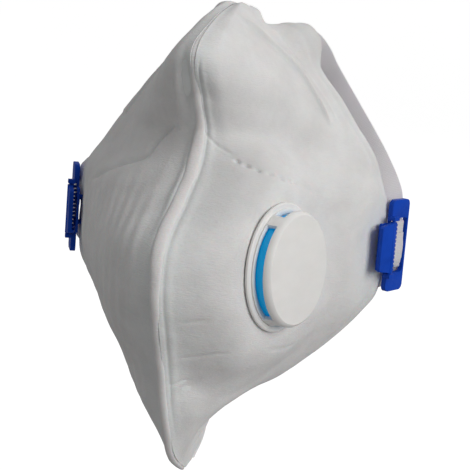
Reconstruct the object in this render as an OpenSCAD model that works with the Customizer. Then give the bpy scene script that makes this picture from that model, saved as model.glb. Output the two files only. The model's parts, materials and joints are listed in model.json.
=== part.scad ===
// Vertical fold-flat dust mask with an exhalation valve.
// Frame: +Z up, the front faces -Y, the valve is on the +X side, millimetres.
// The origin is the centre of the face opening, midway between the two cheeks.

/* [Mask body] */
// Height of the nose apex above the cheek line
apex_h = 79; // [74:1:84]
// Depth of the chin tip below the cheek line
chin_d = 75.5; // [70:0.5:80]
// How far the front seam stands in front of the cheeks at its fullest
front_depth = 90; // [84:1:94]
// Half the width between the cheek edges
cheek_x = 54.6; // [52:0.2:58]
// Thickness of the three layers at full loft
loft = 2.25; // [2:0.05:2.8]

/* [Nose] */
// Width of the bendable nose strip
wire_w = 4; // [3:0.5:5]
// Distance of the nose strip from the upper edge
wire_inset = 6; // [5:0.5:8]
// Thickness of the foam nose pad
foam_t = 4; // [2:0.5:5]

/* [Valve] */
// Diameter of the valve's flange
flange_d = 40; // [38:0.5:42]
// Diameter of the valve's flat front
front_d = 34.7; // [33:0.1:36]
// Height of the front above the cover fabric
valve_h = 7.4; // [7:0.1:8.5]
// Radius of the hole through the fabric
port_r = 13.2; // [12.9:0.1:14]
// Number of side windows in the valve's cover
window_n = 3; // [2:1:4]
// Lift of the diaphragm when it opens
lift = 1; // [0.5:0.1:1.2]

/* [Strap and buckles] */
// Height of the buckle frame
buckle_h = 31.7; // [30:0.1:33]
// Width of the buckle frame
buckle_w = 10.6; // [10.4:0.1:12]
// Width of the elastic strap
strap_w = 7.8; // [6:0.1:8]
// Thickness of the elastic strap
strap_t = 0.9; // [0.6:0.1:1]
// Number of teeth on the clamp lever
tooth_n = 12; // [8:1:14]

/* [Hidden] */

fabric_white = [0.95, 0.95, 0.94];
plastic_white = [0.97, 0.97, 0.96];
clip_blue = [0.04, 0.25, 0.65];
valve_blue = [0, 0.5, 0.68];

// Half the thickness of the welded front seam, and the room left for it
seam_t = 0.45;
seam_room = 0.6;

// One row per station from the nose apex to the chin tip, on the wearer's left half:
// front y, front z, edge x, edge y, edge z, angle of the panel from +Y at the seam and
// at the edge, and how far each of those directions holds, as a share of the span.
stations = [
  [-13,               apex_h,      3,             -9,  78, 90, 60, .25, .25],
  [-27,               77,          10,            -10, 73, 90, 32, .25, .3],
  [-48,               72,          20,            -10, 63, 75, 30, .2,  .3],
  [-67,               63,          29.6,          -9,  52, 70, 26, .2,  .3],
  [-60,               50,          38.4,          -8,  42, 62, 26, .25, .4],
  [-53,               39,          45.2,          -7,  33, 60, 27, .28, .4],
  [-57,               28,          51,            -6,  24, 60, 27, .3,  .45],
  [-71.5,             18,          cheek_x - 0.6, -5,  15, 58, 28, .33, .5],
  [-front_depth + 2,  7,           cheek_x,       -4.5, 5, 56, 28, .33, .5],
  [-front_depth,      -6,          cheek_x,       -4.5, -5, 56, 28, .33, .5],
  [-84.3,             -20,         cheek_x - 1.8, -5, -15, 60, 36, .36, .5],
  [-77.3,             -34,         43,            -6, -29, 47, 31, .36, .5],
  [-70.3,             -48,         28,            -8, -43, 48, 28, .35, .47],
  [-61.5,             -62,         11,            -12, -55, 21, 32, .39, .59],
  [-52,               4.5 - chin_d, seam_room,    -20, -68, 0, 0, .33, .33],
  [-44,               -chin_d,     seam_room,     -33, -75, 0, 0, .33, .33]
];
last = len(stations) - 1;
nose_station = 3;

// Where the valve's axis meets the inner face of the right half, and its direction
valve_at = [27, -57.2, 0];
valve_turn = 19;
valve_rise = 3;
valve_n = [cos(valve_turn) * cos(valve_rise), -sin(valve_turn) * cos(valve_rise), sin(valve_rise)];

// Where the right buckle lies on the cheek, its direction, and the axis of its lever
buckle_at = [55.7, -4.4, 1.8];
buckle_turn = 25;
lever_pivot = [4, -3.4];

// ---- helpers ----

function clamp01(t) = min(1, max(0, t));
function ease(t) = let(s = clamp01(t)) s * s * (3 - 2 * s);
function unit(a) = a / norm(a);

// Catmull-Rom curve through a list of rows, at share u of its length
function along(rows, u) =
  let(m = len(rows) - 1, i = min(floor(u * m), m - 1), t = u * m - i,
      a = rows[max(i - 1, 0)], b = rows[i], c = rows[i + 1], d = rows[min(i + 2, m)])
  0.5 * (2 * b + t * (c - a) + t * t * (2 * a - 5 * b + 4 * c - d) + t * t * t * (3 * b - a - 3 * c + d));

// Room beside the mid-plane: the nose is one folded sheet, and below it lies the seam
function room(u) = 0.12 + (seam_room - 0.12) * ease((u - 0.14) / 0.06);

// A point on the inner face of the right half; u runs apex to chin, v seam to edge
function panel_raw(u, v) =
  let(s = along(stations, u),
      p = [room(u), s[0]], q = [max(s[2], room(u)), s[3]], span = norm(q - p),
      p1 = p + s[7] * span * [sin(s[5]), cos(s[5])],
      q1 = q - s[8] * span * [sin(s[6]), cos(s[6])],
      w = 1 - v,
      xy = w * w * w * p + 3 * w * w * v * p1 + 3 * w * v * v * q1 + v * v * v * q)
  [xy[0], xy[1], s[1] + (s[4] - s[1]) * v];

// The same with the flat seat pressed in around the valve, where seat is 1
function panel(u, v, seat) =
  let(p = panel_raw(u, v), off = (valve_at - p) * valve_n,
      hold = seat * ease((38 - norm(p - valve_at)) / 15) * ease(v / 0.25))
  p + hold * off * valve_n;

function panel_normal(u, v, seat) =
  let(e = 0.006, u0 = max(0, u - e), u1 = min(1, u + e), v0 = max(0, v - e), v1 = min(1, v + e))
  unit(cross(panel(u1, v, seat) - panel(u0, v, seat), panel(u, v1, seat) - panel(u, v0, seat)));

// The layers lie apart inside and are welded together along every edge
// and under the buckle
function pinch(u, v) =
  let(cheek = [cheek_x, -4.5, 1], near = norm(panel_raw(u, v) - cheek))
  0.4 + 0.6 * ease(v / 0.16) * ease((1 - v) / 0.08) * ease(u / 0.06) * ease((1 - u) / 0.15)
      * ease((near - 13) / 9);

function panel_point(u, v, offset, seat) =
  panel(u, v, seat) + offset * pinch(u, v) * panel_normal(u, v, seat);

// Closed solid between an outer and an inner sheet of points, each nu x nv
module slab(outer, inner, nu, nv) {
  n = nu * nv;
  function id(i, j) = i * nv + j;
  top = [for (i = [0:nu - 2], j = [0:nv - 2])
    each [[id(i, j), id(i, j + 1), id(i + 1, j + 1)], [id(i, j), id(i + 1, j + 1), id(i + 1, j)]]];
  low = [for (t = top) [n + t[0], n + t[2], n + t[1]]];
  ring = concat(
    [for (j = [0:nv - 2]) id(0, j)], [for (i = [0:nu - 2]) id(i, nv - 1)],
    [for (j = [nv - 1:-1:1]) id(nu - 1, j)], [for (i = [nu - 1:-1:1]) id(i, 0)]);
  side = [for (k = [0:len(ring) - 1]) let(a = ring[k], b = ring[(k + 1) % len(ring)])
    each [[a, n + b, b], [a, n + a, n + b]]];
  polyhedron(points = concat(outer, inner), faces = concat(top, low, side), convexity = 6);
}

// One layer of the right half between two heights above its inner face
module layer(low, high, seat, nu = 34, nv = 11) {
  function sheet(offset) = [for (i = [0:nu - 1], j = [0:nv - 1])
    panel_point(i / (nu - 1), j / (nv - 1), offset, seat)];
  slab(sheet(high), sheet(low), nu, nv);
}

module to_left() { mirror([1, 0, 0]) children(); }

module on_valve() { translate(valve_at) rotate([0, 90 - valve_rise, -valve_turn]) children(); }

module layer_left(low, high) {
  to_left() difference() {
    layer(low, high, 0);
    rivet_holes(rivet_r + 0.15);
  }
}

module layer_right(low, high) {
  difference() {
    layer(low, high, 1);
    on_valve() cylinder(r = port_r, h = 16, center = true, $fn = 48);
    rivet_holes(rivet_r + 0.15);
  }
}

// ---- soft body ----

// Heights of the layers above the inner face
lining_top = 0.4;
filter_low = 0.45;
filter_top = 1;
cover_low = loft - 0.5;

module outer_cover_left() { color(fabric_white) layer_left(cover_low, loft); }
module outer_cover_right() { color(fabric_white) layer_right(cover_low, loft); }
module filter_left() { color("whitesmoke") layer_left(filter_low, filter_top); }
module filter_right() { color("whitesmoke") layer_right(filter_low, filter_top); }
module lining_left() { color("white") layer_left(0, lining_top); }
module lining_right() { color("white") layer_right(0, lining_top); }

// How far the fin stands out of the fold and reaches back into it
fin_out = 2.4;
fin_back = 1.6;

// Fin along the front where both halves are welded, from the nose to the chin tip
module centre_seam() {
  steps = 40;
  u0 = nose_station / last;
  rows = [for (i = [0:steps]) let(u = u0 + (1 - u0) * i / steps, s = along(stations, u),
    t = along(stations, min(1, u + 0.004)) - along(stations, max(0, u - 0.004)),
    n = unit([t[1], -t[0]])) [s[0], s[1], n[0], n[1]]];
  function side(x) = [for (r = rows, k = [0, 1])
    let(d = k == 0 ? fin_out : -fin_back) [x, r[0] + r[2] * d, r[1] + r[3] * d]];
  color(fabric_white) slab(side(seam_t), side(-seam_t), steps + 1, 2);
}

// Length of the section at u, and the share v that lies d inside the outer edge
function span_at(u) = norm(panel_raw(u, 1) - panel_raw(u, 0));
function inside_edge(u, d) = max(0, 1 - d / span_at(u));

// A strip that follows the edge between two insets and two heights
module strip(u0, u1, d0, d1, low, high, steps, across) {
  function sheet(offset) = [for (i = [0:steps], j = [0:across])
    let(u = u0 + (u1 - u0) * i / steps,
        v = inside_edge(u, d0 + (d1 - d0) * j / across))
    panel_point(u, v, offset, 0)];
  slab(sheet(high), sheet(low), steps + 1, across + 1);
}

// Share of the edge that the nose strip and the foam pad take, and the strip's heights
wire_u = [0.034, 0.3];
wire_z = [1.15, 1.5];
foam_u = [0.05, 0.32];
foam_inset = [2, 13];
module nose_strip() {
  color("silver") strip(wire_u[0], wire_u[1], wire_inset + wire_w, wire_inset, wire_z[0], wire_z[1], 20, 2);
}
module nose_strip_left() { to_left() nose_strip(); }
module nose_strip_right() { nose_strip(); }

module nose_foam() {
  color([0.9, 0.92, 0.95]) strip(foam_u[0], foam_u[1], foam_inset[1], foam_inset[0], -foam_t, -0.15, 16, 3);
}
module nose_foam_left() { to_left() nose_foam(); }
module nose_foam_right() { nose_foam(); }

// ---- valve, drawn about its axis with z = 0 on the cover fabric ----

// Height of the seat that the diaphragm closes on, and the diaphragm with its raised rim
seat_z = 3;
flap_t = 0.4;
flap_r = 16.4;
rim_z = [1.75, 5];
rim_t = 0.6;
// Tube through the fabric, flange on the fabric and boss inside the cover
bore_r = 11.4;
tube_r = 12.6;
tube_h = 5.2;
flange_r = flange_d / 2;
flange_t = 1.4;
boss_r = 15;
spoke_n = 4;
spoke_w = 1.2;
// Post through the diaphragm, whose head stops it after its lift
post_r = 1.1;
post_top = seat_z + flap_t + lift + 0.3;
valve_gap = 0.25;

module in_valve() { on_valve() translate([0, 0, loft + valve_gap]) children(); }

module ring_of(r_in, r_out, z0, z1) {
  translate([0, 0, z0]) difference() {
    cylinder(r = r_out, h = z1 - z0, $fn = 96);
    translate([0, 0, -1]) cylinder(r = r_in, h = z1 - z0 + 2, $fn = 96);
  }
}

module valve_base() {
  color(plastic_white) in_valve() {
    rotate_extrude($fn = 96) polygon([
      [bore_r, -tube_h], [tube_r, -tube_h], [tube_r, 0], [flange_r - 0.5, 0], [flange_r, 0.4],
      [flange_r, 1], [flange_r - 0.5, flange_t], [boss_r, flange_t], [boss_r, 2.4], [14.6, 2.4],
      [14.2, seat_z], [13.5, seat_z], [13, 2.4], [bore_r, 2.4]]);
    for (k = [0:spoke_n - 1]) rotate([0, 0, k * 360 / spoke_n + 45])
      translate([1, -spoke_w / 2, -0.6]) cube([bore_r, spoke_w, 1.6]);
    translate([0, 0, -0.6]) cylinder(r = 2.4, h = 2.8, $fn = 48);
    cylinder(r = post_r, h = post_top, $fn = 48);
    translate([0, 0, post_top]) cylinder(r = 1.7, h = 0.4, $fn = 48);
  }
}

module valve_diaphragm() {
  low = seat_z + 0.05;
  inner = flap_r - rim_t;
  color(valve_blue) in_valve() rotate_extrude($fn = 96) polygon([
    [post_r + 0.2, low], [inner, low], [inner, rim_z[0]], [flap_r, rim_z[0]], [flap_r, rim_z[1]],
    [inner, rim_z[1]], [inner, low + flap_t], [post_r + 0.2, low + flap_t]]);
}

// Side windows of the cover: arc of each in degrees, and their height range;
// thickness of the lid, and inner radius of the wall
window_arc = 105;
window_z = [1.9, 5.2];
lid_t = 1.2;
wall_in = 16.8;
module valve_cover() {
  color(plastic_white) in_valve() difference() {
    rotate_extrude($fn = 96) polygon([
      [wall_in, flange_t + 0.1], [18.3, flange_t + 0.1], [18.3, 2], [17.8, 6],
      [front_d / 2, valve_h - 0.5], [front_d / 2 - 0.6, valve_h], [0, valve_h],
      [0, valve_h - lid_t], [16.4, valve_h - lid_t], [wall_in, 5.7]]);
    for (k = [0:window_n - 1]) window_cut(270 + k * 360 / window_n);
  }
}

// Sector that opens one side window, centred on the angle given
module window_cut(middle) {
  reach = 24;
  steps = 12;
  half = window_arc / 2;
  ring = [for (i = [0:steps]) let(a = middle - half + window_arc * i / steps)
    reach * [cos(a), sin(a)]];
  translate([0, 0, window_z[0]]) linear_extrude(window_z[1] - window_z[0])
    difference() {
      polygon(concat([[0, 0]], ring));
      circle(r = 16, $fn = 64);
    }
}

// Ring that clamps the fabric from inside
ring_r = 17;
ring_t = 1.2;
module valve_backing_ring() {
  color(plastic_white) in_valve() {
    ring_of(tube_r + 0.1, ring_r, -loft - valve_gap - 0.4 - ring_t, -loft - valve_gap - 0.4);
  }
}

// ---- buckles, drawn with x outwards, y along the panel and z up ----

// Frame: its thickness range and the window for the strap
frame_x = [0.9, 2.7];
frame_y = -2.6;
window_y = [-1.6, 7.2];
window_h = 19;
// Ears that hold the lever's pin
ear_z = [9.2, 10.5];
pin_r = 0.6;
// Tongue that is riveted to the mask
tongue_y = [-7.5, -1.7];
tongue_h = 16;
tongue_t = 0.9;
// Length along the frame that is cut low to let the lever swing
lever_room = 18.2;

module on_buckle() { translate(buckle_at) rotate([0, 0, -buckle_turn]) children(); }

// A plate in the y-z plane with rounded corners, between two x positions
module plate(y0, y1, z0, z1, x0, x1, r) {
  translate([x0, 0, 0]) rotate([90, 0, 90]) linear_extrude(x1 - x0) union() {
    translate([y0 + r, z0]) square([y1 - y0 - 2 * r, z1 - z0]);
    translate([y0, z0 + r]) square([y1 - y0, z1 - z0 - 2 * r]);
    for (y = [y0 + r, y1 - r], z = [z0 + r, z1 - r]) translate([y, z]) circle(r = r, $fn = 32);
  }
}

// Two rivets that hold the tongue through the fabric
rivet_z = 4.5;
rivet_y = -4;
rivet_r = 0.9;
rivet_head = [1.5, 0.4];
module rivet_cuts(r) {
  for (s = [-1, 1]) translate([0, rivet_y, s * rivet_z]) rotate([0, 90, 0])
    cylinder(r = r, h = 20, center = true, $fn = 32);
}
module rivet_holes(r) { on_buckle() rivet_cuts(r); }

// A cylinder along the axis on which the lever turns
module along_pin(r, h) {
  translate([lever_pivot[0], lever_pivot[1], 0]) cylinder(r = r, h = h, center = true, $fn = 32);
}

module buckle_frame() {
  color(clip_blue) on_buckle() difference() {
    union() {
      difference() {
        plate(frame_y, frame_y + buckle_w, -buckle_h / 2, buckle_h / 2, frame_x[0], frame_x[1], 2);
        plate(window_y[0], window_y[1], -window_h / 2, window_h / 2, 0, 4, 1.1);
      }
      plate(tongue_y[0], tongue_y[1], -tongue_h / 2, tongue_h / 2, frame_x[0], frame_x[0] + tongue_t, 0.4);
      for (s = [-1, 1]) translate([frame_x[1] - 0.2, lever_pivot[1] - 1, s > 0 ? ear_z[0] : -ear_z[1]])
        cube([2.4, 3, ear_z[1] - ear_z[0]]);
    }
    along_pin(pin_r + 0.02, 40);
    translate([frame_x[0] + tongue_t, -12, -lever_room / 2]) cube([4, 11.6, lever_room]);
    rivet_cuts(rivet_r + 0.05);
  }
}
module buckle_frame_left() { to_left() buckle_frame(); }
module buckle_frame_right() { buckle_frame(); }

// Lever: thickness range, length of its pivot edge and pitch of its teeth
lever_x = [3.3, 4.7];
lever_h = 17.4;
tooth_pitch = (lever_h - 0.6) / tooth_n;
module clamp_lever() {
  color(clip_blue) on_buckle() difference() {
    union() {
      translate([lever_x[0], 0, 0]) rotate([90, 0, 90]) linear_extrude(lever_x[1] - lever_x[0])
        polygon([[-10.8, -7.1], [-10.2, -7.7], [-2.8, -lever_h / 2], [-2.8, lever_h / 2],
                 [-10.2, 7.7], [-10.8, 7.1]]);
      along_pin(1.1, lever_h);
      for (k = [0:tooth_n - 1]) translate([0, 0, (k + 0.5) * tooth_pitch - lever_h / 2 + 0.3])
        lever_tooth();
    }
    along_pin(pin_r + 0.05, 40);
  }
}
// One wedge-shaped tooth on the rear edge, leaning in over the window
module lever_tooth() {
  w = tooth_pitch * 0.62;
  translate([0, 0, -w / 2]) linear_extrude(w)
    polygon([[4.7, -3], [4.6, -1.8], [1.7, -0.1], [1.2, -0.2], [1.2, -0.8], [3.2, -2], [3.4, -3]]);
}
module clamp_lever_left() { to_left() clamp_lever(); }
module clamp_lever_right() { clamp_lever(); }

module lever_pin() {
  color(clip_blue) on_buckle() along_pin(pin_r, 2 * ear_z[1]);
}
module lever_pin_left() { to_left() lever_pin(); }
module lever_pin_right() { lever_pin(); }

// Plate inside the mask that takes the rivets
plate_x = [-4.6, -3.8];
module buckle_plate() {
  color(clip_blue) on_buckle() difference() {
    plate(tongue_y[0], tongue_y[1], -tongue_h / 2, tongue_h / 2, plate_x[0], plate_x[1], 1);
    rivet_cuts(rivet_r + 0.05);
  }
}
module buckle_plate_left() { to_left() buckle_plate(); }
module buckle_plate_right() { buckle_plate(); }

module buckle_rivets() {
  color(clip_blue) on_buckle() for (s = [-1, 1]) translate([0, rivet_y, s * rivet_z]) rotate([0, 90, 0]) {
    translate([0, 0, plate_x[0] - 0.4]) cylinder(r = rivet_r, h = 2.5 - plate_x[0], $fn = 32);
    translate([0, 0, frame_x[0] + tongue_t + 0.05]) cylinder(r = rivet_head[0], h = rivet_head[1], $fn = 32);
    translate([0, 0, plate_x[0] - 0.05 - rivet_head[1]])
      cylinder(r = rivet_head[0], h = rivet_head[1], $fn = 32);
  }
}
module buckle_rivets_left() { to_left() buckle_rivets(); }
module buckle_rivets_right() { buckle_rivets(); }

// ---- straps: the middle of the band, then the direction of its width ----

head_route_right = [
  [57.4, -1.11, 6.2,   0.42, 0.91, 0],
  [57.35, -1.1, 13,      0.42, 0.91, 0],
  [56.4, -0.5, 19.3,    0.5, 0.83, 0.1],
  [51.4, 2, 26.3,       0.75, 0.5, 0.35],
  [44.5, 4.5, 35.8,     0.8, 0.2, 0.55],
  [38, 8.5, 43.9,       0.78, 0.15, 0.6],
  [31.3, 12.6, 52.2,    0.75, 0.1, 0.65],
  [26.3, 17, 58.2,      0.72, 0.1, 0.7],
  [22.6, 19.5, 63.6,    0.6, 0.2, 0.8],
  [18.3, 20.5, 67.6,    0.3, 0.3, 0.9],
  [10, 24, 69.2,        0, 0.35, 0.94],
  [0.8, 26.5, 68.2,     0, 0.35, 0.94]
];
head_route_left = [
  [57.4, -1.11, 6.2,   0.42, 0.91, 0],
  [57.2, -1, 13.5,    0.42, 0.91, 0.05],
  [56.1, 1.2, 18,     0.4, 0.8, 0.4],
  [52.6, 9, 21.5,       0.25, 0.4, 0.9],
  [45, 20, 28,          0.35, 0.15, 0.9],
  [36, 26, 38,          0.5, 0.1, 0.85],
  [24, 29, 50,          0.6, 0.1, 0.8],
  [14, 29.2, 61,        0.4, 0.2, 0.9],
  [6.5, 28, 67,         0.1, 0.3, 0.94],
  [0.8, 26.5, 68.2,     0, 0.35, 0.94]
];
neck_route = [
  [57.4, -1.11, 5.8,   0.42, 0.91, 0],
  [57.3, -1.05, -4,    0.42, 0.91, 0],
  [54.6, 4, -10,        0.35, 0.6, -0.6],
  [47, 13, -14.5,       0.15, 0.3, -0.9],
  [36, 21, -17,         0.1, 0.2, -0.95],
  [18, 26.5, -18.5,     0, 0.2, -0.97],
  [0.8, 28, -19,        0, 0.2, -0.97]
];

module strap(route, steps) {
  rows = [for (i = [0:steps]) let(s = along(route, i / steps),
    t = along(route, min(1, i / steps + 0.004)) - along(route, max(0, i / steps - 0.004)),
    dir = unit([t[0], t[1], t[2]]), w0 = [s[3], s[4], s[5]],
    w = unit(w0 - (w0 * dir) * dir), n = cross(dir, w)) [[s[0], s[1], s[2]], w, n]];
  function face(k) = [for (r = rows, j = [-1, 0, 1])
    r[0] + j * strap_w / 2 * r[1] + k * strap_t / 2 * r[2]];
  color([0.94, 0.94, 0.96]) slab(face(1), face(-1), steps + 1, 3);
}
module head_strap_left() { to_left() strap(head_route_left, 40); }
module head_strap_right() { strap(head_route_right, 44); }
module neck_strap_left() { to_left() strap(neck_route, 28); }
module neck_strap_right() { strap(neck_route, 28); }

centre_seam();
outer_cover_left();
outer_cover_right();
filter_left();
filter_right();
lining_left();
lining_right();
nose_strip_left();
nose_strip_right();
nose_foam_left();
nose_foam_right();
valve_base();
valve_diaphragm();
valve_cover();
valve_backing_ring();
buckle_frame_left();
buckle_frame_right();
clamp_lever_left();
clamp_lever_right();
lever_pin_left();
lever_pin_right();
buckle_plate_left();
buckle_plate_right();
buckle_rivets_left();
buckle_rivets_right();
head_strap_left();
head_strap_right();
neck_strap_left();
neck_strap_right();
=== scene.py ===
import json
import math

import bmesh
import bpy
import numpy as np
from mathutils import Matrix, Vector

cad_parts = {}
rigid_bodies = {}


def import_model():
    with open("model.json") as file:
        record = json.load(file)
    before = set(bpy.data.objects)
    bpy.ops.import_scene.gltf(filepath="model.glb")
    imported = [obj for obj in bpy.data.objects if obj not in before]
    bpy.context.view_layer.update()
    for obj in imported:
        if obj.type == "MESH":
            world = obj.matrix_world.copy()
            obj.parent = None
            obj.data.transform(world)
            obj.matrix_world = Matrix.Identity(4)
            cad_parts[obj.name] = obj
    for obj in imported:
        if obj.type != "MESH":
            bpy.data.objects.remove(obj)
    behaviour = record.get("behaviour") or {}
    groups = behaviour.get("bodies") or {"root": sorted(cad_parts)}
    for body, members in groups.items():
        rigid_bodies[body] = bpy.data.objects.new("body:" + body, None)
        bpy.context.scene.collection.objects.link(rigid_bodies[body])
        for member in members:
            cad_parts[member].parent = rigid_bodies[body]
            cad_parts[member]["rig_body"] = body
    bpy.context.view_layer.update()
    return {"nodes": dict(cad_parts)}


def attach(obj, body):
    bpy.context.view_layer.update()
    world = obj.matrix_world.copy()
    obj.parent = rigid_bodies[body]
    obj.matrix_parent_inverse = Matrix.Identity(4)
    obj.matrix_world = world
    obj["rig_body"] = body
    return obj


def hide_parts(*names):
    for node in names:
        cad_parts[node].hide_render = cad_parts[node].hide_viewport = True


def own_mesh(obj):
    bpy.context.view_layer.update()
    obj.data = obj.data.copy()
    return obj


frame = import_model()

MM = 0.001  # lengths below are in millimetres, in the frame of the CAD model

# ---------------------------------------------------------------- camera

TARGET = Vector((3.14, -7.59, -0.72)) * MM
CAMERA_DISTANCE = 0.45
AZIMUTH, ELEVATION, ROLL = math.radians(13), math.radians(10), math.radians(4.7)
SENSOR, LENS = 36, 98.9


def make_camera():
    data = bpy.data.cameras.new("camera")
    data.sensor_width = SENSOR
    data.lens = LENS
    data.clip_start = 0.01
    camera = bpy.data.objects.new("camera", data)
    bpy.context.scene.collection.objects.link(camera)
    turn = Matrix.Rotation(AZIMUTH, 4, "Z") @ Matrix.Rotation(math.pi / 2 - ELEVATION, 4, "X")
    tilt = Matrix.Rotation(ROLL, 4, "Z")
    place = Matrix.Translation(TARGET) @ turn @ Matrix.Translation((0, 0, CAMERA_DISTANCE)) @ tilt
    camera.matrix_world = place
    bpy.context.scene.camera = camera


# ---------------------------------------------------------------- shape of a half

APEX_H = 79.0
CHIN_D = 75.5
FRONT_DEPTH = 90.0
CHEEK_X = 54.6
LOFT = 2.25  # from the inner face to the outer face of a half
COVER_T = 0.5
SEAM_ROOM, FOLD_ROOM = 0.35, 0.02  # beside the mid-plane: at the seam, and where the nose folds

# One row per station from the nose apex to the chin tip: front y, front z, edge x,
# edge y, edge z, angle of the panel at the seam and at the edge, and how far each holds
STATIONS = np.array([
    [-13, APEX_H, 3, -9, 78, 90, 60, .25, .25],
    [-27, 77, 10, -10, 73, 90, 32, .25, .3],
    [-48, 72, 20, -10, 63, 75, 30, .2, .3],
    [-67, 63, 29.6, -9, 52, 70, 26, .2, .3],
    [-60, 50, 38.4, -8, 42, 62, 26, .25, .4],
    [-53, 39, 45.2, -7, 33, 60, 27, .28, .4],
    [-57, 28, 51, -6, 24, 60, 27, .3, .45],
    [-71.5, 18, CHEEK_X - 0.6, -5, 15, 58, 28, .33, .5],
    [-FRONT_DEPTH + 2, 7, CHEEK_X, -4.5, 5, 56, 28, .33, .5],
    [-FRONT_DEPTH, -6, CHEEK_X, -4.5, -5, 56, 28, .33, .5],
    [-84.3, -20, CHEEK_X - 1.8, -5, -15, 60, 36, .36, .5],
    [-77.3, -34, 43, -6, -29, 47, 31, .36, .5],
    [-70.3, -48, 28, -8, -43, 48, 28, .35, .47],
    [-61.5, -62, 11, -12, -55, 21, 32, .39, .59],
    [-52, 4.5 - CHIN_D, SEAM_ROOM, -20, -68, 0, 0, .33, .33],
    [-44, -CHIN_D, SEAM_ROOM, -33, -75, 0, 0, .33, .33],
])
VALVE_AT = np.array([27, -57.2, 0])
VALVE_TURN, VALVE_RISE = math.radians(19), math.radians(3)
VALVE_N = np.array([
    math.cos(VALVE_TURN) * math.cos(VALVE_RISE),
    -math.sin(VALVE_TURN) * math.cos(VALVE_RISE),
    math.sin(VALVE_RISE),
])
PORT_R = 13.2  # hole in the cloth behind the valve
SEAT_R, SEAT_BLEND = 46, 25  # reach of the flat seat, and the part of it that blends away
SMOOTH_R = 26  # the cover lies smooth round the valve out to here
BUCKLE_MIDDLE = np.array([CHEEK_X, -4.5, 1])
BUCKLE_R, BUCKLE_BLEND = 13, 9
WELDED_LOFT = 0.4  # share of the loft that is left where the layers are welded together


def ease(t):
    t = np.clip(t, 0, 1)
    return t * t * (3 - 2 * t)


def bell(x, width):
    return np.exp(-(x / width) ** 2)


def kernel(reach, width):
    """Weights of a soft average over 2 * reach + 1 samples."""
    weights = bell(np.arange(-reach, reach + 1), width)
    return weights / weights.sum()


def length_of(a):
    return np.linalg.norm(a, axis=-1)


def unit(a):
    return a / np.maximum(length_of(a), 1e-9)[..., None]


def along(rows, u):
    """Catmull-Rom curve through the rows, at shares u of its length."""
    m = len(rows) - 1
    u = np.asarray(u, float) * m
    i = np.minimum(np.floor(u).astype(int), m - 1)
    t = (u - i)[..., None]
    a, b, c, d = rows[np.maximum(i - 1, 0)], rows[i], rows[i + 1], rows[np.minimum(i + 2, m)]
    return 0.5 * (2 * b + t * (c - a) + t * t * (2 * a - 5 * b + 4 * c - d)
                  + t ** 3 * (3 * b - a - 3 * c + d))


def room(u):
    """Room beside the mid-plane: the nose is one folded sheet, and below it lies the seam."""
    return FOLD_ROOM + (SEAM_ROOM - FOLD_ROOM) * ease((u - 0.14) / 0.06)


def panel_raw(u, v):
    """Even inner face of a half, as the model has it, before it settles."""
    s = along(STATIONS, u)
    r = room(u)
    p = np.stack([r, s[..., 0]], -1)
    q = np.stack([np.maximum(s[..., 2], r), s[..., 3]], -1)
    span = length_of(q - p)[..., None]
    a, b = np.radians(s[..., 5]), np.radians(s[..., 6])
    p1 = p + s[..., 7:8] * span * np.stack([np.sin(a), np.cos(a)], -1)
    q1 = q - s[..., 8:9] * span * np.stack([np.sin(b), np.cos(b)], -1)
    t = np.asarray(v, float)[..., None]
    w = 1 - t
    xy = w ** 3 * p + 3 * w * w * t * p1 + 3 * w * t * t * q1 + t ** 3 * q
    z = s[..., 1] + (s[..., 4] - s[..., 1]) * v
    return np.concatenate([xy, z[..., None]], -1)


# The spare cloth above the nose strip stands up on the right half: share u along the edge,
# then how far the edge moves in x and in z
NOSE_FLAP = np.array([
    [0, 0, 0], [.03, 0, 0], [.05, -1.6, -1.4], [.07, -.6, -2.2], [.085, 2.2, 1.6],
    [.1, 4.5, 5.1], [.115, 6.2, 7.4], [.125, 6.8, 7.6], [.137, 6.8, 6.6],
    [.143, 6.1, 5.5], [.155, 4.2, 3.8], [.168, 2.4, 2.6], [.19, 1.7, 2.6],
    [.215, 1.6, 3.1], [.25, .3, 3.7], [.285, -.4, 3.6], [.32, -.5, 3.7],
    [.35, -.1, 3.3], [.375, 0, 2.1], [.41, 0, 0], [1, 0, 0],
])
FLAP_DEPTH = 7.5  # how far inside the edge the loose cloth reaches
FLAP_SHARES = np.linspace(0, 1, 801)
FLAP_MOVES = [np.convolve(np.interp(FLAP_SHARES, NOSE_FLAP[:, 0], NOSE_FLAP[:, k]),
                          kernel(16, 3.2), "same") for k in (1, 2)]


def flap(u, v):
    """How far a point of the right half moves with the loose cloth beside the nose."""
    inside = (1 - v) * span_at(u)
    ramp = np.clip(1 - inside / FLAP_DEPTH, 0, 1) ** 1.3
    x, z = (np.interp(u, FLAP_SHARES, move) for move in FLAP_MOVES)
    return np.stack([ramp * x, np.zeros_like(ramp), ramp * z], -1)


# How far this one mask stands away from the even model
CHIN_RISE, APEX_DROP = 1.6, 1.0
RIGHT_DIP_AT, RIGHT_DIP = 0.068, 2.4  # right edge just below the apex
RIGHT_CHIN_AT, RIGHT_CHIN = 0.902, np.array([-1.5, 0, 2.8])  # right edge beside the chin
LEFT_NOSE = np.array([-1.8, 0, -1.4])  # left edge along the nose


def settle(u, v, seat):
    """Move of each point of the half from the even shape; the right half has the seat."""
    step = np.zeros(u.shape + (3,))
    step[..., 2] += CHIN_RISE * ease((u - 0.86) / 0.1) - APEX_DROP * ease((0.08 - u) / 0.08)
    if seat:
        step += flap(u, v)
        step[..., 2] -= RIGHT_DIP * bell(u - RIGHT_DIP_AT, 0.03) * ease((v - 0.25) / 0.45)
        step += (ease(v / 0.85) * bell(u - RIGHT_CHIN_AT, 0.024))[..., None] * RIGHT_CHIN
    else:
        along_nose = ease((u - 0.03) / 0.05) * ease((0.46 - u) / 0.1) * ease(v / 0.8)
        step += along_nose[..., None] * LEFT_NOSE
    return step


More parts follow.
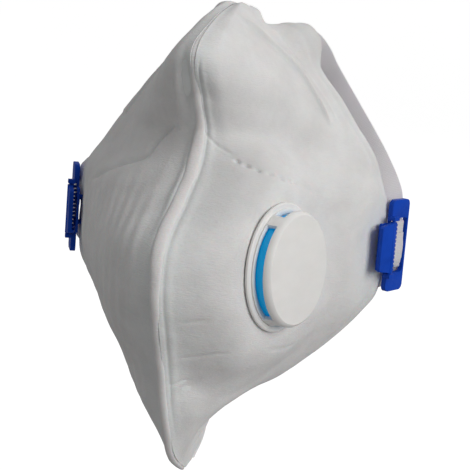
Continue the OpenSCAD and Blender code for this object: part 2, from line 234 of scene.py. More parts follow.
def panel(u, v, seat):
    """Inner face of a half as it lies; seat is 1 on the right half, which holds the valve."""
    u, v = np.broadcast_arrays(np.asarray(u, float), np.asarray(v, float))
    p = panel_raw(u, v) + settle(u, v, seat)
    off = (VALVE_AT - p) @ VALVE_N
    hold = seat * ease((SEAT_R - length_of(p - VALVE_AT)) / SEAT_BLEND) * ease(v / 0.25)
    return p + (hold * off)[..., None] * VALVE_N


def pinch(u, v):
    """Loft of the layers, which are welded along every edge and under the buckle."""
    near = length_of(panel_raw(u, v) - BUCKLE_MIDDLE)
    return (WELDED_LOFT + (1 - WELDED_LOFT) * ease(v / 0.16) * ease((1 - v) / 0.08)
            * ease(u / 0.06) * ease((1 - u) / 0.15) * ease((near - BUCKLE_R) / BUCKLE_BLEND))


def normal(u, v, seat):
    """Outward direction of the half's inner face."""
    e = 0.006
    u0, u1 = np.maximum(0, u - e), np.minimum(1, u + e)
    v0, v1 = np.maximum(0, v - e), np.minimum(1, v + e)
    return unit(np.cross(panel(u1, v, seat) - panel(u0, v, seat),
                         panel(u, v1, seat) - panel(u, v0, seat)))


def point(u, v, offset, seat):
    """Point at a height above the inner face; the height shrinks with the loft."""
    u, v = np.broadcast_arrays(np.asarray(u, float), np.asarray(v, float))
    return panel(u, v, seat) + (offset * pinch(u, v))[..., None] * normal(u, v, seat)


def span_at(u):
    """Straight distance from the seam to the edge."""
    return length_of(panel_raw(u, np.ones_like(u)) - panel_raw(u, np.zeros_like(u)))


def ripple(p, wavelength, seed):
    """Smooth random hills and hollows between about -1 and 1, the same at every run."""
    rng = np.random.default_rng(seed)
    total = np.zeros(p.shape[:-1])
    for _ in range(9):
        direction = unit(rng.normal(size=3))
        k = 2 * math.pi / (wavelength * rng.uniform(0.7, 1.6))
        total += np.sin(p @ direction * k + rng.uniform(0, 2 * math.pi))
    return total / 4


# ---------------------------------------------------------------- creases, welds and relief


def line_on(path, seat, steps=60):
    """Points of the half along a path of (u, v), and the share of its length at each."""
    uv = along(np.array(path, float), np.linspace(0, 1, steps))
    q = panel(uv[:, 0], np.clip(uv[:, 1], 0, 1), seat)
    run = np.concatenate([[0], np.cumsum(length_of(q[1:] - q[:-1]))])
    return q, run / run[-1]


def near_line(p, line):
    """Distance from each point of p to a line, the share along it, and the line's length."""
    q, t = line
    flat = p.reshape(-1, 3)
    best = np.full(len(flat), 1e9)
    share = np.zeros(len(flat))
    for a, b, ta, tb in zip(q[:-1], q[1:], t[:-1], t[1:]):
        ab = b - a
        s = np.clip(((flat - a) @ ab) / (ab @ ab), 0, 1)
        d = length_of(flat - a - s[:, None] * ab)
        closer = d < best
        best[closer] = d[closer]
        share[closer] = (ta + (tb - ta) * s)[closer]
    size = length_of(q[1:] - q[:-1]).sum()
    return best.reshape(p.shape[:-1]), share.reshape(p.shape[:-1]), size


def crease(p, path, seat, width, height, fade):
    """Ridge along a path, or a groove where height is negative; fade is the share of each end."""
    d, s, _ = near_line(p, line_on(path, seat))
    return height * bell(d, width) * ease(s / fade) * ease((1 - s) / fade)


def ridges(distance, rows):
    """Long ridges and grooves: each row is a distance, a width and a height."""
    return sum(height * bell(distance - at, width) for at, width, height in rows)


def hills(from_seam, u, rows):
    """Soft hills and hollows: distance from the seam and width, share u and width, height."""
    return sum(height * bell(from_seam - at, width) * bell(u - at_u, width_u)
               for at, width, at_u, width_u, height in rows)


# Paths of (u, v): u runs from the nose apex to the chin tip, v from the seam to the edge
FOLD_LINE = [(.327, 0), (.372, .1), (.398, .173), (.408, .237), (.415, .35), (.425, .507),
             (.44, .67)]
WELD_START, WELD_FAINT, WELD_END = 0.318, 0.68, 0.97  # shares of the fold line
WELD_PITCH, WELD_LENGTH, WELD_WIDTH, WELD_DEPTH = 3.6, 0.95, 0.6, 0.9
LEFT_FOLD = [(.31, .143), (.36, .287), (.398, .353), (.428, .56), (.472, .78)]
UPPER_FAN = [(.33, 0), (.352, .06), (.378, .14)]
LOWER_CREASES = [
    [(.703, .03), (.69, .165), (.695, .22)],
    [(.70, .37), (.712, .52), (.715, .665)],
    [(.75, .01), (.745, .06), (.74, .12)],
    [(.642, .05), (.637, .1), (.633, .15)],
]
NOSE_LINE = [(.1, .18), (.108, .263), (.128, .457), (.155, .64), (.177, .733), (.198, .77),
             (.242, .797), (.293, .817)]
NOSE_SECOND = [(.125, .62), (.15, .76), (.177, .825), (.2, .845), (.24, .875), (.285, .885)]
STRIP_RUN, STRIP_INSET, STRIP_W = (.034, .3), 6.0, 4.0  # nose strip: shares u, millimetres
# Creases of each half: path, width, height and share that fades at each end
RIGHT_CREASES = [(NOSE_LINE, .6, 1.35, .12), (NOSE_LINE, 1.8, .4, .2), (NOSE_SECOND, .8, .75, .2),
                 (FOLD_LINE, 2.2, -.35, .2), (UPPER_FAN, .5, -.3, .15)]
RIGHT_CREASES += [(path, .6, -.3, .3) for path in LOWER_CREASES]
LEFT_CREASES = [(LEFT_FOLD, 1.6, -.8, .15), (LEFT_FOLD, .5, -.4, .15)]
LEFT_CREASES += [(path, .6, -.2, .3) for path in LOWER_CREASES]
RIM = [(1.1, .9, .3), (2.7, .6, -.22)]  # rolled rim with a welded line inside it
SEAM_WELD = [(3.4, 1.1, .22), (1.9, .45, -.22)]  # weld line beside the front seam
STRIP_SIDES = [(STRIP_W / 2, .8, .75), (-STRIP_W / 2, .7, .35)]  # from the strip's middle
RIGHT_HILLS = [(10, 7, .76, .03, -1.1), (8, 6, .24, .035, .5)]
LEFT_HILLS = [(4.5, 2.6, .235, .035, -1.6)]
LEFT_SEAM_HILLS = [(2.4, 1.7, .44, .09, .8)]


def welds(p, seat):
    """Row of short welded dashes along the fold line, which fade towards the cheek."""
    d, s, size = near_line(p, line_on(FOLD_LINE, seat, 120))
    phase = (s - WELD_START) * size / WELD_PITCH
    dash = bell((phase - np.round(phase)) * WELD_PITCH, WELD_LENGTH)
    shown = (ease((s - WELD_START + 0.03) / 0.02) * (1 - 0.75 * ease((s - WELD_FAINT) / 0.06))
             * ease((WELD_END - s) / 0.1))
    return -WELD_DEPTH * dash * bell(d, WELD_WIDTH) * shown


def relief(u, v, p, side, seat):
    """How far the outer cover stands above or below its smooth shape, in millimetres."""
    span = span_at(u)
    inside = (1 - v) * span
    from_seam = v * span
    h = 0.22 * ripple(p, 30, 3 + side) + 0.07 * ripple(p, 9, 11 + side)
    h *= 1 - 0.8 * seat * ease((SMOOTH_R - length_of(p - VALVE_AT)) / 6)
    h += ridges(inside, RIM)
    beside = ease((u - 0.2) / 0.03) * ease((0.86 - u) / 0.12)
    if side > 0:
        h += beside * ridges(from_seam, SEAM_WELD)
        h += hills(from_seam, u, RIGHT_HILLS)
        h += welds(p, seat)
    else:
        # the nose strip shows as a low plateau with a raised line along each side
        a, b = STRIP_RUN
        strip = ease((u - a) / 0.02) * ease((b - u) / 0.012)
        middle = inside - STRIP_INSET - STRIP_W / 2
        h += strip * (0.35 * ease(STRIP_W / 2 + 1 - abs(middle)) + ridges(middle, STRIP_SIDES))
        h += beside * hills(from_seam, u, LEFT_SEAM_HILLS)
        # soft upright waves low on the cheek
        low = ease((u - 0.42) / 0.12) * ease((0.86 - u) / 0.12)
        h += 0.16 * low * np.sin(from_seam * 0.95 + 2.2 * np.sin(u * 9)) * ease(from_seam / 12)
        h += hills(from_seam, u, LEFT_HILLS)
    for path, width, height, fade in RIGHT_CREASES if side > 0 else LEFT_CREASES:
        h += crease(p, path, seat, width, height, fade)
    return h


def trim(u, side):
    """Share of the width that the cut edge loses: a small notch near the chin, and waviness."""
    notch = 0.07 * ease((u - 0.885) / 0.02) * ease((0.925 - u) / 0.006)
    wave = 0.0025 * np.sin(u * 61 + side) + 0.0015 * np.sin(u * 143 + 2 * side)
    return notch + wave * ease((1 - u) / 0.2) * ease(u / 0.1)


# ---------------------------------------------------------------- mesh helpers


def name_of(side):
    return "right" if side > 0 else "left"


def new_object(name, points, faces):
    mesh = bpy.data.meshes.new(name)
    mesh.from_pydata([tuple(c) for c in np.asarray(points) * MM], [], faces)
    mesh.validate()
    mesh.update()
    obj = bpy.data.objects.new(name, mesh)
    bpy.context.scene.collection.objects.link(obj)
    mesh.polygons.foreach_set("use_smooth", [True] * len(mesh.polygons))
    return obj


def shell(name, top, low, side, keep=None):
    """Closed thin solid between two grids of points. keep says which cells are cloth."""
    nu, nv = top.shape[:2]
    n = nu * nv
    ids = np.arange(n).reshape(nu, nv)
    quads = np.stack([ids[:-1, :-1], ids[1:, :-1], ids[1:, 1:], ids[:-1, 1:]], -1).reshape(-1, 4)
    if keep is not None:
        quads = quads[keep.reshape(-1)]
    edges = np.concatenate([quads[:, [k, (k + 1) % 4]] for k in range(4)]).tolist()
    known = set(map(tuple, edges))
    walls = [[b, a, a + n, b + n] for a, b in edges if (b, a) not in known]
    faces = np.concatenate([quads, quads[:, ::-1] + n, np.array(walls)])
    used, index = np.unique(faces, return_inverse=True)
    faces = index.reshape(-1, 4)
    points = np.concatenate([top.reshape(-1, 3), low.reshape(-1, 3)])[used]
    if side < 0:
        points = points * np.array([-1, 1, 1])
        faces = faces[:, ::-1]
    return new_object(name, points, faces.tolist())


def tube(name, rings, side):
    """Closed solid through rings of points: rings has the shape (steps, around, 3)."""
    steps, around = rings.shape[:2]
    faces = []
    for i in range(steps - 1):
        for j in range(around):
            k = (j + 1) % around
            faces.append([i * around + j, i * around + k,
                          (i + 1) * around + k, (i + 1) * around + j])
    faces.append(list(range(around))[::-1])
    faces.append([(steps - 1) * around + j for j in range(around)])
    points = rings.reshape(-1, 3)
    if side < 0:
        points = points * np.array([-1, 1, 1])
        faces = [f[::-1] for f in faces]
    obj = new_object(name, points, faces)
    bm = bmesh.new()
    bm.from_mesh(obj.data)
    bmesh.ops.recalc_face_normals(bm, faces=bm.faces)
    bm.to_mesh(obj.data)
    bm.free()
    return obj


def paint(obj, material):
    obj.data.materials.clear()
    obj.data.materials.append(material)


def soft(obj, side, node):
    """A soft piece of one half: it rides on the half and takes the place of the CAD part."""
    name = name_of(side)
    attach(obj, f"{name}_half")
    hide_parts(f"{node}_{name}")
    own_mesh(obj)


# ---------------------------------------------------------------- materials


class Nodes:
    """Short hand for building one node material."""

    def __init__(self, name):
        self.material = bpy.data.materials.new(name)
        self.material.use_nodes = True
        self.tree = self.material.node_tree
        self.shader = self.tree.nodes["Principled BSDF"]

    def add(self, kind, inputs=None, **settings):
        node = self.tree.nodes.new(kind)
        for key, value in settings.items():
            setattr(node, key, value)
        for key, value in (inputs or {}).items():
            if isinstance(value, bpy.types.NodeSocket):
                self.tree.links.new(value, node.inputs[key])
            else:
                node.inputs[key].default_value = value
        return node

    def link(self, source, key):
        self.tree.links.new(source, self.shader.inputs[key])

    def set(self, **values):
        for key, value in values.items():
            self.shader.inputs[key.replace("_", " ")].default_value = value

    def place(self, scale=(1, 1, 1), turn=(0, 0, 0)):
        where = self.add("ShaderNodeTexCoord").outputs["Object"]
        mapping = self.add("ShaderNodeMapping", {"Vector": where, "Scale": scale, "Rotation": turn})
        return mapping.outputs["Vector"]

    def noise(self, vector, scale, detail=3.0, rough=0.55):
        node = self.add("ShaderNodeTexNoise",
                        {"Vector": vector, "Scale": scale, "Detail": detail, "Roughness": rough})
        return node.outputs["Fac"]

    def mix(self, factor, a, b):
        node = self.add("ShaderNodeMix", data_type="RGBA")
        for key, value in ((0, factor), (6, a), (7, b)):
            if isinstance(value, bpy.types.NodeSocket):
                self.tree.links.new(value, node.inputs[key])
            else:
                node.inputs[key].default_value = value
        return node.outputs[2]

    def math(self, operation, a, b):
        return self.add("ShaderNodeMath", {0: a, 1: b}, operation=operation).outputs[0]

    def spread(self, value, low, high, to_low=0.0, to_high=1.0):
        node = self.add("ShaderNodeMapRange", {"Value": value, "From Min": low, "From Max": high,
                                               "To Min": to_low, "To Max": to_high})
        return node.outputs["Result"]

    def bump(self, height, distance, strength=1.0, under=None):
        inputs = {"Height": height, "Distance": distance, "Strength": strength}
        if under is not None:
            inputs["Normal"] = under
        return self.add("ShaderNodeBump", inputs).outputs["Normal"]


def nonwoven(name, light, dark, fibre_depth=0.0003, sheen=0.15, dots=0.0):
    """Spun-bonded cloth: crossing fibres, slow cloudiness and, on a lining, bonded dots."""
    n = Nodes(name)
    fibres = []
    for k, turn in enumerate((0.4, 1.5, 2.6)):
        stretched = n.place((1, 1, 6.5), (turn, 0.3 * k, turn * 0.7))
        fibres.append(n.noise(stretched, 520, 3))
    crossing = n.math("MAXIMUM", n.math("MAXIMUM", fibres[0], fibres[1]), fibres[2])
    cloud = n.noise(n.place(), 95, 4, 0.6)
    patch = n.noise(n.place(), 22, 2)
    tone = n.spread(n.math("ADD", n.math("MULTIPLY", cloud, 0.6), n.math("MULTIPLY", patch, 0.4)),
                    0.38, 0.62)
    share = n.math("MULTIPLY", tone, n.spread(crossing, 0.45, 0.7, 0.75, 1.0))
    n.link(n.mix(share, dark, light), "Base Color")
    n.link(n.spread(crossing, 0.4, 0.7, 0.95, 0.78), "Roughness")
    bumps = n.bump(crossing, fibre_depth, 0.7)
    bumps = n.bump(cloud, 0.0007, 0.45, bumps)
    if dots:
        cells = n.add("ShaderNodeTexVoronoi",
                      {"Vector": n.place(), "Scale": 520.0, "Randomness": 0.12})
        bumps = n.bump(n.spread(cells.outputs["Distance"], 0.0, 0.4), dots, 0.8, bumps)
    n.link(bumps, "Normal")
    n.set(Sheen_Weight=sheen, Sheen_Roughness=0.6, Subsurface_Weight=0.12, Subsurface_Scale=0.002,
          Specular_IOR_Level=0.25)
    return n.material


def moulded(name, color, shade, roughness, subsurface=0.05, shine=0.45):
    """Injection-moulded plastic: fine grain, faint flow marks and scuffs."""
    n = Nodes(name)
    flow = n.noise(n.place((1, 1, 2.5)), 70, 4)
    scuff = n.noise(n.place((3, 1, 1), (0.3, 0.8, 0.2)), 420, 2, 0.7)
    n.link(n.mix(n.spread(flow, 0.35, 0.7), color, shade), "Base Color")
    n.link(n.spread(scuff, 0.3, 0.75, roughness, roughness + 0.16), "Roughness")
    fine = n.bump(n.noise(n.place(), 2600, 2), 0.00004, 0.5)
    n.link(n.bump(flow, 0.00025, 0.25, fine), "Normal")
    n.set(Subsurface_Weight=subsurface, Subsurface_Scale=0.0015, Specular_IOR_Level=shine)
    return n.material


def elastic_band(name):
    """Flat elastic: lengthwise ribs across the band and fine courses along it."""
    n = Nodes(name)
    uv = n.add("ShaderNodeUVMap").outputs["UV"]
    ribs = n.add("ShaderNodeTexWave", {"Vector": uv, "Scale": 2.2, "Distortion": 0.3},
                 bands_direction="Y").outputs["Fac"]
    courses = n.add("ShaderNodeTexWave", {"Vector": uv, "Scale": 0.55, "Distortion": 0.6},
                    bands_direction="X").outputs["Fac"]
    fuzz = n.noise(n.place(), 800, 3)
    height = n.math("ADD", n.math("MULTIPLY", ribs, 0.7), n.math("MULTIPLY", courses, 0.3))
    n.link(n.mix(n.spread(height, 0.1, 0.9), (0.76, 0.73, 0.755, 1), (0.93, 0.91, 0.935, 1)),
           "Base Color")
    n.link(n.spread(fuzz, 0.3, 0.7, 0.7, 0.92), "Roughness")
    n.link(n.bump(fuzz, 0.0001, 0.5, n.bump(height, 0.00018, 0.7)), "Normal")
    n.set(Sheen_Weight=0.2, Subsurface_Weight=0.1, Subsurface_Scale=0.0015)
    return n.material


def foam_material():
    """Open-cell foam: small cells over soft lumps."""
    n = Nodes("foam")
    cells = n.add("ShaderNodeTexVoronoi", {"Vector": n.place(), "Scale": 1500.0})
    lumps = n.noise(n.place(), 300, 4)
    n.link(n.mix(n.spread(lumps, 0.3, 0.7), (0.72, 0.75, 0.8, 1), (0.84, 0.87, 0.9, 1)),
           "Base Color")
    n.link(n.spread(lumps, 0.3, 0.7, 0.8, 0.96), "Roughness")
    n.link(n.bump(cells.outputs["Distance"], 0.0004, 0.7, n.bump(lumps, 0.0004, 0.4)), "Normal")
    n.set(Subsurface_Weight=0.2, Subsurface_Scale=0.002)
    return n.material


def metal_strip():
    """Brushed soft aluminium."""
    n = Nodes("nose_metal")
    brushed = n.noise(n.place((1, 1, 14)), 300, 4)
    n.link(n.mix(brushed, (0.6, 0.61, 0.63, 1), (0.75, 0.76, 0.78, 1)), "Base Color")
    n.link(n.spread(brushed, 0.3, 0.7, 0.28, 0.5), "Roughness")
    n.link(n.bump(brushed, 0.00005, 0.5), "Normal")
    n.set(Metallic=1.0)
    return n.material


def silicone():
    """Blue rubber, seen only through the valve's windows, with painted light: a faint blue glow
    (emission) lifts it out of the shade there.
    """
    n = Nodes("diaphragm_rubber")
    soft_spots = n.noise(n.place(), 200, 3)
    n.link(n.mix(n.spread(soft_spots, 0.3, 0.7), (0.0, 0.42, 0.80, 1), (0.0, 0.47, 0.88, 1)),
           "Base Color")
    n.link(n.spread(soft_spots, 0.3, 0.7, 0.3, 0.48), "Roughness")
    n.link(n.bump(n.noise(n.place(), 1800, 2), 0.00003, 0.5), "Normal")
    # Emission below is painted light: a faint blue glow standing in for light on the shaded rubber.
    n.set(Subsurface_Weight=0.1, Subsurface_Scale=0.001, Specular_IOR_Level=0.3,
          Emission_Color=(0.0, 0.36, 0.9, 1), Emission_Strength=0.17)
    return n.material


COVER = nonwoven("nonwoven", (0.80, 0.782, 0.775, 1), (0.71, 0.692, 0.685, 1))
FILTER = nonwoven("filter_media", (0.86, 0.86, 0.85, 1), (0.78, 0.78, 0.77, 1),
                  fibre_depth=0.0001, sheen=0.25)
LINING = nonwoven("lining_fabric", (0.84, 0.84, 0.84, 1), (0.75, 0.75, 0.76, 1),
                  fibre_depth=0.00012, sheen=0.2, dots=0.00012)
VALVE_WHITE = moulded("valve_plastic", (0.84, 0.83, 0.81, 1), (0.80, 0.79, 0.77, 1), 0.42)
CLIP_BLUE = moulded("clip_plastic", (0.002, 0.062, 0.50, 1), (0.001, 0.05, 0.42, 1), 0.38,
                    subsurface=0.0, shine=0.16)
ELASTIC = elastic_band("elastic")
FOAM = foam_material()
METAL = metal_strip()
SILICONE = silicone()

# ---------------------------------------------------------------- the two soft halves


def grid(nu, nv):
    """Shares u and v of a grid that is finer beside the seam and beside the edge."""
    t = np.linspace(0, 1, nv)
    v = 0.5 * t + 0.5 * (0.5 - 0.5 * np.cos(math.pi * t))
    return np.meshgrid(np.linspace(0, 1, nu), v, indexing="ij")


def clear_of_port(p):
    """Cells of a grid of points that lie outside the valve's hole."""
    off = p - VALVE_AT
    out = length_of(off - (off @ VALVE_N)[..., None] * VALVE_N) > PORT_R
    out |= abs(off @ VALVE_N) > 12  # the far face of the half has no hole
    return out[:-1, :-1] & out[1:, :-1] & out[1:, 1:] & out[:-1, 1:]


def layer(node, side, low, high, nu, nv, material, shaped=False):
    """One layer of a half, from height low to high; a shaped one carries creases and welds."""
    seat = 1 if side > 0 else 0
    u, v = grid(nu, nv)
    v = v * (1 - trim(u, side))
    n = normal(u, v, seat)
    base = panel(u, v, seat)
    loft = pinch(u, v)
    lift = relief(u, v, base, side, seat) if shaped else np.zeros_like(u)
    top = base + (high * loft + lift)[..., None] * n
    under = base + (low * loft + lift * (low > 0))[..., None] * n
    keep = clear_of_port(base) if side > 0 else None
    obj = shell(f"{node}_cloth_{name_of(side)}", top, under, side, keep)
    paint(obj, material)
    soft(obj, side, node)


for side in (1, -1):
    layer("outer_cover", side, LOFT - COVER_T, LOFT, 420, 170, COVER, shaped=True)
    layer("filter", side, 0.45, 1.0, 120, 50, FILTER)
    layer("lining", side, 0.0, 0.4, 200, 80, LINING)


def section_ring(u, d0, d1, low, high, round_to, count, seat):
    """Ring of points round a flat strip's section at share u of the edge."""
    a = np.linspace(0, 2 * math.pi, count, endpoint=False)
    ca, sa = np.cos(a), np.sin(a)
    x = np.sign(ca) * abs(ca) ** round_to
    y = np.sign(sa) * abs(sa) ** round_to
    d = (d0 + d1) / 2 + (d1 - d0) / 2 * x
    off = (low + high) / 2 + (high - low) / 2 * y
    uu = np.full(count, u)
    v = np.clip(1 - d / span_at(uu), 0, 1)
    return point(uu, v, off, seat)


def edge_strip(node, side, us, insets, heights, round_to, count, steps, material):
    """Flat strip along the edge with rounded ends, between two insets and two heights."""
    rings = []
    for t in np.linspace(0, 1, steps):
        u = us[0] + (us[1] - us[0]) * t
        end = min(t, 1 - t) * steps / 3
        size = math.sqrt(max(0.0, 1 - (1 - min(1.0, end)) ** 2)) * 0.7 + 0.3
        mid, half = (insets[0] + insets[1]) / 2, (insets[1] - insets[0]) / 2 * size
        level, rise = (heights[0] + heights[1]) / 2, (heights[1] - heights[0]) / 2 * size
        rings.append(section_ring(u, mid - half, mid + half, level - rise, level + rise,
                                  round_to, count, 1 if side > 0 else 0))
    obj = tube(f"{node}_{name_of(side)}_strip", np.array(rings), side)
    paint(obj, material)
    soft(obj, side, node)
    return obj


STRIP_HEIGHTS = (1.15, 1.5)
FOAM_RUN, FOAM_INSETS, FOAM_HEIGHTS = (.05, .32), (2, 13), (-4, -.15)
for side in (1, -1):
    edge_strip("nose_strip", side, STRIP_RUN, (STRIP_INSET, STRIP_INSET + STRIP_W),
               STRIP_HEIGHTS, 0.3, 16, 60, METAL)
    pad = edge_strip("nose_foam", side, FOAM_RUN, FOAM_INSETS,
                     FOAM_HEIGHTS, 0.55, 32, 70, FOAM)

# ---------------------------------------------------------------- front seam


# Share u down the front, half the roll's width, and how far it stands above the covers
ROLL_SHAPE = np.array([
    [0, .9, -.35], [.15, .9, -.3], [.21, 1.1, .05], [.32, 1.4, .3], [.37, 2.1, .5], [.52, 2.0, .5],
    [.6, 1.4, .25], [.9, 1.2, .25], [1, .9, .1],
])


def seam_roll():
    """Rounded welded roll down the front: flat on the folded nose, fullest below the corner."""
    steps, around = 320, 24
    u = np.linspace(0, 1, steps)
    e = 0.003
    middle = along(STATIONS, u)[:, :2]
    middle[:, 1] += settle(u, np.zeros(steps), 0)[:, 2]
    ahead = along(STATIONS, np.minimum(1, u + e))[:, :2]
    behind = along(STATIONS, np.maximum(0, u - e))[:, :2]
    t = unit(ahead - behind)
    forward = np.stack([t[:, 1], -t[:, 0]], -1)
    forward *= np.where(forward[:, 0] > 0, -1, 1)[:, None]
    width = np.interp(u, ROLL_SHAPE[:, 0], ROLL_SHAPE[:, 1])
    above = np.interp(u, ROLL_SHAPE[:, 0], ROLL_SHAPE[:, 2])
    for values in (width, above):
        values[9:-9] = np.convolve(values, kernel(9, 4.0), "valid")
    a = np.linspace(0, 2 * math.pi, around, endpoint=False)
    rings = []
    for k in range(steps):
        ahead_of = np.array([0, *forward[k]])
        wave = 0.1 * math.sin(u[k] * 47) + 0.06 * math.sin(u[k] * 121 + 1)
        lean = 0.25 * ease(above[k] / 0.8) * (1 + np.sin(a))
        sideways = width[k] * (np.cos(a) - lean) + wave * ease(above[k] / 0.4)
        depth = 0.4 + np.where(np.sin(a) > 0, (0.5 + above[k]) * np.sin(a), 2.0 * np.sin(a))
        rings.append(np.array([0, *middle[k]]) + sideways[:, None] * np.array([1, 0, 0])
                     + depth[:, None] * ahead_of)
    obj = tube("seam_roll", np.array(rings), 1)
    paint(obj, COVER)
    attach(obj, "seam")
    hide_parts("centre_seam")


seam_roll()

# ---------------------------------------------------------------- straps

STRAP_W, STRAP_T = 7.8, 0.9
# Where the band runs through the buckle's window it lies proud, to show as one broad field
BUCKLE_AT = np.array([55.7, -4.4, 1.8])
BUCKLE_ACROSS, BUCKLE_OUT = np.array([0.4226, 0.9063, 0]), np.array([0.9063, -0.4226, 0])
WINDOW_HALF, WINDOW_NEAR, WINDOW_FAR, WINDOW_RISE = 9.3, 0.2, 7.15, 1.45
# Middle of the band, then the direction of its width
RIGHT_ROUTE = np.array([
    [57.4, -1.11, 6.01, .42, .91, 0], [56.9, -1.0, 13, .55, .83, 0],
    [55.7, -0.5, 19.3, .7, .7, .1], [51.4, 2, 26.3, .75, .5, .35],
    [44.5, 4.5, 35.8, .8, .2, .55], [38, 8.5, 43.9, .78, .15, .6],
    [31.3, 12.6, 52.2, .75, .1, .65], [26.3, 17, 58.2, .72, .1, .7],
    [22.6, 19.5, 63.6, .6, .2, .8], [18.3, 20.5, 67.6, .3, .3, .9],
    [10, 24, 69.2, 0, .35, .94], [0.8, 26.5, 68.2, 0, .35, .94],
])
LEFT_ROUTE = np.array([
    [57.4, -1.11, 6.01, .42, .91, 0], [57.2, -1, 13.5, .42, .91, .05],
    [54.8, 2.2, 17.2, .4, .8, .4], [48.5, 9.5, 20, .25, .4, .9], [42, 20, 27, .35, .15, .9],
    [36, 26, 38, .5, .1, .85], [24, 29, 50, .6, .1, .8], [14, 29.2, 61, .4, .2, .9],
    [6.5, 28, 67, .1, .3, .94], [0.8, 26.5, 68.2, 0, .35, .94],
])
NECK_ROUTE = np.array([
    [57.4, -1.11, 5.99, .42, .91, 0], [57.3, -1.05, -4, .42, .91, 0],
    [54.6, 4, -10, .35, .6, -.6], [47, 13, -14.5, .15, .3, -.9], [36, 21, -17, .1, .2, -.95],
    [18, 26.5, -18.5, 0, .2, -.97], [0.8, 28, -19, 0, .2, -.97],
])


def strap(node, side, route, steps):
    """Half of a band: thin at its edges, faintly curled and wavy, with a UV map in millimetres."""
    t = np.linspace(0, 1, steps)
    row = along(route, t)
    ahead = along(route, np.minimum(1, t + 0.004))[:, :3]
    behind = along(route, np.maximum(0, t - 0.004))[:, :3]
    run = unit(ahead - behind)
    w = row[:, 3:]
    w = unit(w - (w * run).sum(-1)[:, None] * run)
    n = np.cross(run, w)
    across = 22
    x = np.concatenate([np.linspace(-1, 1, across), np.linspace(1, -1, across)])
    face = np.concatenate([np.ones(across), -np.ones(across)])
    thick = STRAP_T / 2 * (1 - 0.55 * abs(x) ** 8) * face
    curl = 0.25 * x ** 2
    sway = 0.06 * np.sin(t * 90)[:, None] * x ** 2
    rings = (row[:, None, :3] + (x * STRAP_W / 2)[None, :, None] * w[:, None, :]
             + (thick + curl + sway)[..., None] * n[:, None, :])
    from_buckle = rings - BUCKLE_AT
    sideways = from_buckle @ BUCKLE_ACROSS
    rise = (WINDOW_RISE * ease((WINDOW_HALF - abs(from_buckle[..., 2])) / 1.5)
            * ease(sideways - WINDOW_NEAR) * ease((WINDOW_FAR - sideways) / 0.5))
    rings = rings + rise[..., None] * BUCKLE_OUT
    obj = tube(f"{node}_band_{name_of(side)}", rings, side)
    uv = obj.data.uv_layers.new(name="UVMap")
    run_length = np.concatenate([[0], np.cumsum(length_of(row[1:, :3] - row[:-1, :3]))])
    for loop in obj.data.loops:
        i, j = divmod(loop.vertex_index, len(x))
        uv.data[loop.index].uv = (run_length[i], x[j] * STRAP_W / 2)
    paint(obj, ELASTIC)
    soft(obj, side, node)


for side in (1, -1):
    strap("head_strap", side, RIGHT_ROUTE if side > 0 else LEFT_ROUTE, 220)
    strap("neck_strap", side, NECK_ROUTE, 150)

# ---------------------------------------------------------------- moulded parts


def rounded(node, width, material):
    """Copy of a rigid CAD part with softened edges, which takes the place of the CAD mesh."""
    source = frame["nodes"][node]
    bm = bmesh.new()
    bm.from_mesh(source.data)
    bmesh.ops.remove_doubles(bm, verts=bm.verts, dist=2e-6)
    bmesh.ops.dissolve_limit(bm, angle_limit=math.radians(1.0), verts=bm.verts, edges=bm.edges)
    mesh = bpy.data.meshes.new(f"{node}_moulding")
    bm.to_mesh(mesh)
    bm.free()
    obj = bpy.data.objects.new(f"{node}_moulding", mesh)
    bpy.context.scene.collection.objects.link(obj)
    bevel = obj.modifiers.new("edges", "BEVEL")
    bevel.width = width * MM
    bevel.segments = 3
    bevel.limit_method = "ANGLE"
    bevel.angle_limit = math.radians(32)
    bevel.use_clamp_overlap = True
    shown = obj.evaluated_get(bpy.context.evaluated_depsgraph_get())
    final = bpy.data.meshes.new_from_object(shown)
    obj.modifiers.clear()
    obj.data = final
    final.polygons.foreach_set("use_smooth", [True] * len(final.polygons))
    final.set_sharp_from_angle(angle=math.radians(38))
    paint(obj, material)
    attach(obj, source["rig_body"])
    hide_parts(node)


rounded("valve_base", 0.18, VALVE_WHITE)
rounded("valve_cover", 0.3, VALVE_WHITE)
rounded("valve_backing_ring", 0.3, VALVE_WHITE)
rounded("valve_diaphragm", 0.1, SILICONE)
for name in ("left", "right"):
    for part, width in (("buckle_frame", 0.3), ("clamp_lever", 0.16), ("lever_pin", 0.15),
                        ("buckle_plate", 0.25), ("buckle_rivets", 0.15)):
        rounded(f"{part}_{name}", width, CLIP_BLUE)

# ---------------------------------------------------------------- stage and light


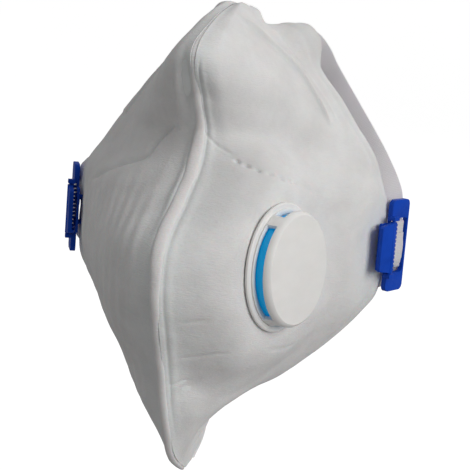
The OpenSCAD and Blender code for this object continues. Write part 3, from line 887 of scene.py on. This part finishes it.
def make_stage():
    """Pale floor that rises smoothly into a wall all round; sizes here are in metres."""
    floor_z, middle_r, flat_r, rise_r, wall_z = -0.105, 0.02, 1.6, 0.6, 1.4
    around, curve_steps = 96, 12
    profile = [(middle_r, floor_z), (flat_r * 0.5, floor_z), (flat_r, floor_z)]
    for k in range(1, curve_steps + 1):
        a = math.pi / 2 * k / curve_steps
        profile.append((flat_r + rise_r * math.sin(a), floor_z + rise_r * (1 - math.cos(a))))
    profile.append((flat_r + rise_r, wall_z))
    turns = [2 * math.pi * j / around for j in range(around)]
    points = [(r * math.cos(a) / MM, r * math.sin(a) / MM, z / MM)
              for r, z in profile for a in turns]
    faces = [[i * around + j, i * around + (j + 1) % around,
              (i + 1) * around + (j + 1) % around, (i + 1) * around + j]
             for i in range(len(profile) - 1) for j in range(around)]
    faces.append(list(range(around))[::-1])
    floor = new_object("floor", points, faces)
    n = Nodes("floor_paint")
    n.link(n.mix(n.noise(n.place(), 6, 3), (0.33, 0.33, 0.33, 1), (0.36, 0.36, 0.36, 1)),
           "Base Color")
    n.set(Roughness=0.9, Emission_Color=(1, 1, 1, 1), Emission_Strength=0.88)
    floor.data.materials.append(n.material)
    floor.visible_diffuse = False
    floor.visible_glossy = False
    floor.visible_transmission = False


LIGHT_AIM = Vector((0, -0.03, 0))


def area_light(name, place, size, power, color=(1, 1, 1)):
    data = bpy.data.lights.new(name, "AREA")
    data.size = size
    data.energy = power
    data.color = color
    light = bpy.data.objects.new(name, data)
    bpy.context.scene.collection.objects.link(light)
    light.location = place
    light.rotation_euler = (LIGHT_AIM - Vector(place)).to_track_quat("-Z", "Y").to_euler()


def make_light():
    area_light("key", (1.0, -0.55, 0.45), 0.7, 9.0, (1, 0.99, 0.985))
    area_light("fill", (-0.6, -0.25, 1.2), 0.9, 1.9, (0.97, 0.98, 1))
    area_light("rim", (0.3, 0.9, 0.8), 0.8, 3.0)
    world = bpy.data.worlds.new("studio")
    world.use_nodes = True
    back = world.node_tree.nodes["Background"]
    back.inputs["Color"].default_value = (1, 1, 1, 1)
    back.inputs["Strength"].default_value = 0.26
    bpy.context.scene.world = world
    bpy.context.scene.view_settings.view_transform = "Standard"


make_camera()
make_stage()
make_light()
